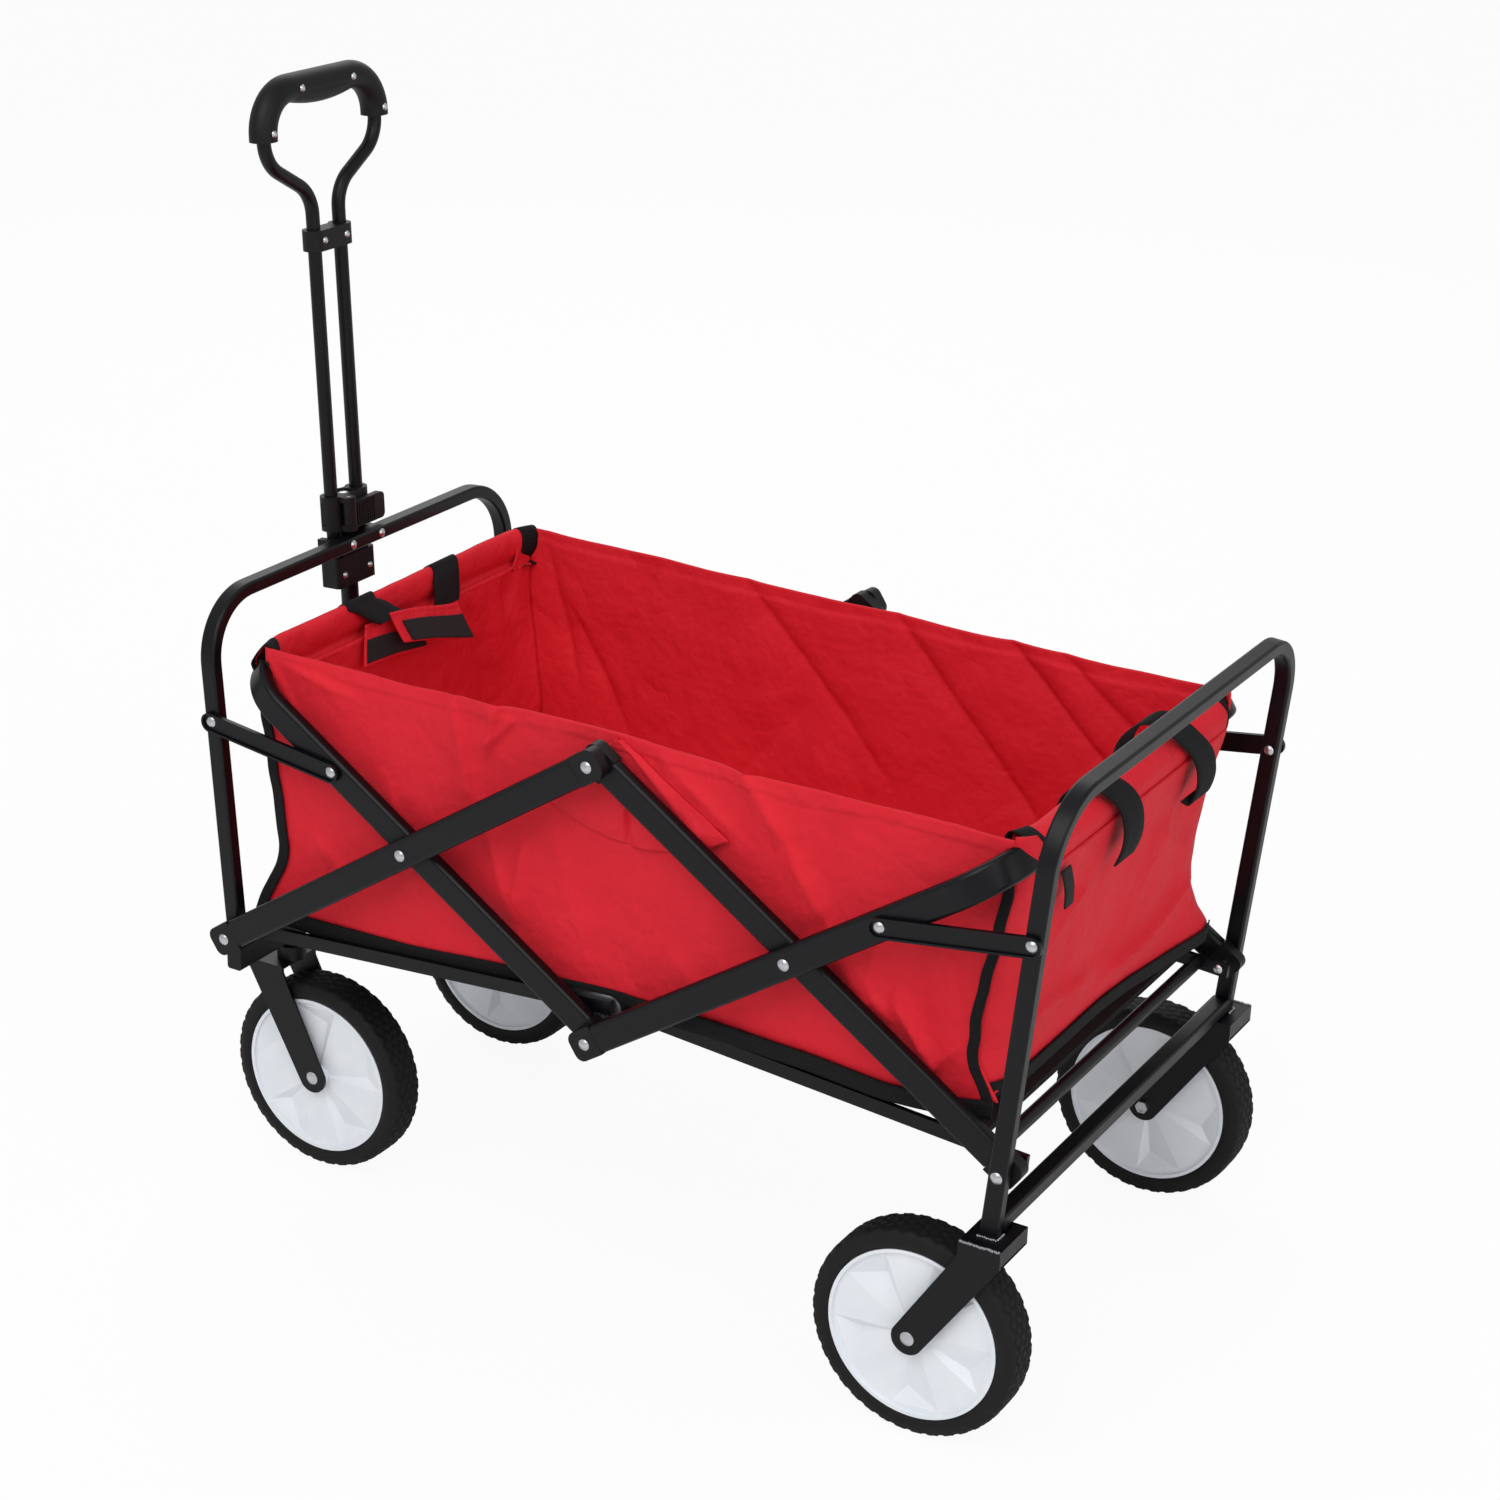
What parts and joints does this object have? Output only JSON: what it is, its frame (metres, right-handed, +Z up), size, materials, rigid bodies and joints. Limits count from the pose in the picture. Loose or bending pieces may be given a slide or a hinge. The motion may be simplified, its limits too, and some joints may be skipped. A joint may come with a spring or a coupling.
{
  "type": "folding wagon",
  "caption": "Folding garden wagon: double-scissor black steel frame, red fabric basket, swivelling front wheels, fixed rear wheels and a telescopic pull handle.",
  "frame": {"origin": "on the ground under the middle of the open wagon's box", "axes": "+X from the handle end to the push end, +Z up"},
  "size_m": [0.8476, 0.5, 0.9531],
  "materials": {
    "black_steel": "satin powder coat",
    "zinc_steel": "zinc plated",
    "black_plastic": "moulded, fine grain",
    "white_plastic": "satin moulded",
    "tyre_rubber": "moulded tread",
    "red_cloth": "woven polyester",
    "floor_board": "covered board"
  },
  "bodies": {
    "front_frame": {"front_hoop": "black_steel", "front_crossbar": "black_steel", "handle_bracket": "black_steel", "handle_clip": "black_plastic", "front_frame_rivets": "zinc_steel", "caster_bearings": "black_steel"},
    "front_arms": {"front_arm_left": "black_steel", "front_arm_right": "black_steel", "front_arm_caps": "black_plastic", "front_arm_rivets": "zinc_steel"},
    "rear_arms": {"rear_arm_left": "black_steel", "rear_arm_right": "black_steel", "rear_arm_caps": "black_plastic", "rear_arm_rivets": "zinc_steel"},
    "front_rim": {"front_rim_tube": "black_steel", "front_rim_caps": "black_plastic"},
    "rear_rim": {"rear_rim_tube": "black_steel", "rear_rim_caps": "black_plastic", "centre_rivets": "zinc_steel"},
    "front_links": {"front_link_left": "black_steel", "front_link_right": "black_steel", "front_link_rivets": "zinc_steel"},
    "rear_links": {"rear_link_left": "black_steel", "rear_link_right": "black_steel", "rear_link_rivets": "zinc_steel"},
    "rear_frame": {"rear_hoop": "black_steel", "rear_crossbar": "black_steel", "rear_fork_left": "black_steel", "rear_fork_right": "black_steel", "rear_axles": "zinc_steel", "rear_frame_rivets": "zinc_steel"},
    "rear_wheel_left_body": {"rear_wheel_left": "white_plastic", "rear_tyre_left": "tyre_rubber"},
    "rear_wheel_right_body": {"rear_wheel_right": "white_plastic", "rear_tyre_right": "tyre_rubber"},
    "caster_left": {"caster_fork_left": "black_steel", "caster_axle_left": "zinc_steel"},
    "caster_right": {"caster_fork_right": "black_steel", "caster_axle_right": "zinc_steel"},
    "front_wheel_left_body": {"front_wheel_left": "white_plastic", "front_tyre_left": "tyre_rubber"},
    "front_wheel_right_body": {"front_wheel_right": "white_plastic", "front_tyre_right": "tyre_rubber"},
    "floor_front": {"floor_frame_front": "black_steel", "floor_hinges_front": "zinc_steel", "floor_board_front": "floor_board"},
    "floor_rear": {"floor_frame_rear": "black_steel", "floor_board_rear": "floor_board"},
    "basket": {"basket": "red_cloth"},
    "handle": {"handle_post": "black_steel", "lock_block": "black_plastic", "handle_pins": "zinc_steel"},
    "lock_lever": {"lock_lever": "black_plastic"},
    "handle_slide": {"handle_tubes": "black_steel", "handle_collar": "black_plastic", "slide_block": "black_plastic", "grip_shell_front": "black_plastic", "grip_shell_rear": "black_plastic", "handle_screws": "zinc_steel"}
  },
  "joints": [
    {"name": "fold", "type": "hinge", "parent": "front_frame", "child": "front_arms", "pos_m": [-0.35459, 0, 0.2444], "axis": [0, -1, 0], "range_deg": [0, 43.3]},
    {"name": "top_pivot", "type": "hinge", "parent": "front_arms", "child": "rear_arms", "pos_m": [0.0173, 0, 0.49241], "axis": [0, 1, 0], "range_deg": [0, 86.61]},
    {"name": "rear_pivot", "type": "hinge", "parent": "rear_arms", "child": "rear_frame", "pos_m": [0.38918, 0, 0.2444], "axis": [0, -1, 0], "range_deg": [0, 43.31]},
    {"name": "front_crossing", "type": "hinge", "parent": "front_arms", "child": "front_rim", "pos_m": [-0.16456, 0, 0.37114], "axis": [0, 1, 0], "range_deg": [0, 86.61]},
    {"name": "rear_crossing", "type": "hinge", "parent": "rear_arms", "child": "rear_rim", "pos_m": [0.19915, 0, 0.37114], "axis": [0, -1, 0], "range_deg": [0, 86.61]},
    {"name": "front_link_pivot", "type": "hinge", "parent": "front_frame", "child": "front_links", "pos_m": [-0.36826, 0, 0.43992], "axis": [0, -1, 0], "range_deg": [0, 77.22]},
    {"name": "rear_link_pivot", "type": "hinge", "parent": "rear_frame", "child": "rear_links", "pos_m": [0.40657, 0, 0.44314], "axis": [0, 1, 0], "range_deg": [0, 76.6]},
    {"name": "floor_front_pivot", "type": "hinge", "parent": "front_frame", "child": "floor_front", "pos_m": [-0.35459, 0, 0.2444], "axis": [0, -1, 0], "range_deg": [0, 70.07]},
    {"name": "floor_rear_pivot", "type": "hinge", "parent": "rear_frame", "child": "floor_rear", "pos_m": [0.38918, 0, 0.2444], "axis": [0, 1, 0], "range_deg": [0, 70.07]},
    {"name": "basket_lift", "type": "slide", "parent": "front_frame", "child": "basket", "axis": [0, 0, 1], "range_m": [0, 0.18501], "deforming": ["basket"]},
    {"name": "caster_swivel_left", "type": "hinge", "parent": "front_frame", "child": "caster_left", "pos_m": [-0.35459, -0.141, 0.2], "axis": [0, 0, 1], "continuous": true},
    {"name": "front_wheel_spin_left", "type": "hinge", "parent": "caster_left", "child": "front_wheel_left_body", "pos_m": [-0.31699, -0.141, 0.09], "axis": [0, 1, 0], "continuous": true},
    {"name": "rear_wheel_spin_left", "type": "hinge", "parent": "rear_frame", "child": "rear_wheel_left_body", "pos_m": [0.32878, -0.224, 0.09], "axis": [0, 1, 0], "continuous": true},
    {"name": "caster_swivel_right", "type": "hinge", "parent": "front_frame", "child": "caster_right", "pos_m": [-0.35459, 0.141, 0.2], "axis": [0, 0, 1], "continuous": true},
    {"name": "front_wheel_spin_right", "type": "hinge", "parent": "caster_right", "child": "front_wheel_right_body", "pos_m": [-0.31699, 0.141, 0.09], "axis": [0, 1, 0], "continuous": true},
    {"name": "rear_wheel_spin_right", "type": "hinge", "parent": "rear_frame", "child": "rear_wheel_right_body", "pos_m": [0.32878, 0.224, 0.09], "axis": [0, 1, 0], "continuous": true},
    {"name": "handle_tilt", "type": "hinge", "parent": "front_frame", "child": "handle", "pos_m": [-0.37659, 0, 0.221], "axis": [0, -1, 0], "range_deg": [0, 95]},
    {"name": "lock_lever_hinge", "type": "hinge", "parent": "handle", "child": "lock_lever", "pos_m": [-0.37676, -0.013, 0.55194], "axis": [0.0489, 0, -0.9988], "range_deg": [0, 75]},
    {"name": "handle_extension", "type": "slide", "parent": "handle", "child": "handle_slide", "axis": [-0.0489, 0, 0.9988], "range_m": [-0.2179, 0]}
  ],
  "couplings": [
    {"joint": "top_pivot", "follows": "fold", "ratio": 2},
    {"joint": "rear_pivot", "follows": "fold", "ratio": 1},
    {"joint": "front_crossing", "follows": "fold", "ratio": 2},
    {"joint": "rear_crossing", "follows": "fold", "ratio": 2},
    {"joint": "front_link_pivot", "follows": "fold", "ratio": 1.7832},
    {"joint": "rear_link_pivot", "follows": "fold", "ratio": 1.7687},
    {"joint": "floor_front_pivot", "follows": "fold", "ratio": 1.618},
    {"joint": "floor_rear_pivot", "follows": "fold", "ratio": 1.618},
    {"joint": "basket_lift", "follows": "fold", "m_per_rad": 0.2448}
  ]
}
